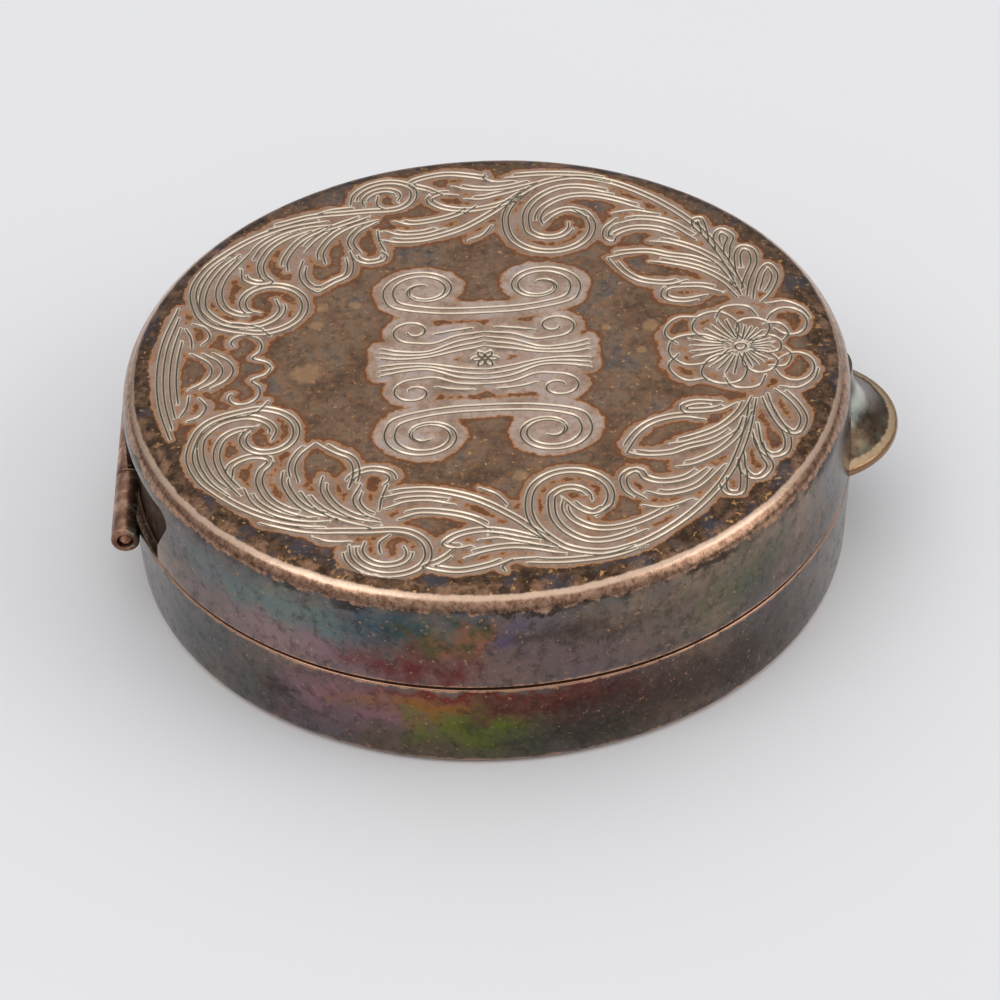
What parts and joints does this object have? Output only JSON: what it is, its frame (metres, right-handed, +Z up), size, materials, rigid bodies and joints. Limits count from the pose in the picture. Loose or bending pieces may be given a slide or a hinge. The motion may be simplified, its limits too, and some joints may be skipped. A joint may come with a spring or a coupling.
{
  "type": "hinged pill box",
  "caption": "Round shallow metal pill box with an engraved hinged lid, an inner collar, a barrel hinge and a half-moon thumb piece.",
  "frame": {"origin": "centre of the flat underside of the base", "axes": "+Z up through the lid, +X along the hinge axis, +Y towards the hinge, thumb piece at -Y"},
  "size_m": [0.038, 0.0411, 0.0108],
  "materials": {
    "lid_silver": "engraved silver, tarnished brown, with pale worn silver around the cut lines",
    "base_silver": "smooth silver with iridescent tarnish",
    "collar_silver": "dull tarnished silver",
    "hinge_silver": "worn coppery silver tube",
    "pin_metal": "bare coppery wire with peened ends",
    "thumb_silver": "tarnished silver, polished in the hollow"
  },
  "bodies": {
    "base": {"base_pan": "base_silver", "base_collar": "collar_silver", "base_knuckle_left": "hinge_silver", "base_knuckle_right": "hinge_silver", "hinge_pin": "pin_metal"},
    "lid": {"lid_pan": "lid_silver", "lid_knuckle": "hinge_silver", "thumb_piece": "thumb_silver"}
  },
  "joints": [
    {"name": "lid_hinge", "type": "hinge", "parent": "base", "child": "lid", "pos_m": [0, 0.0189, 0.0047], "axis": [-1, 0, 0], "range_deg": [0, 115]}
  ]
}
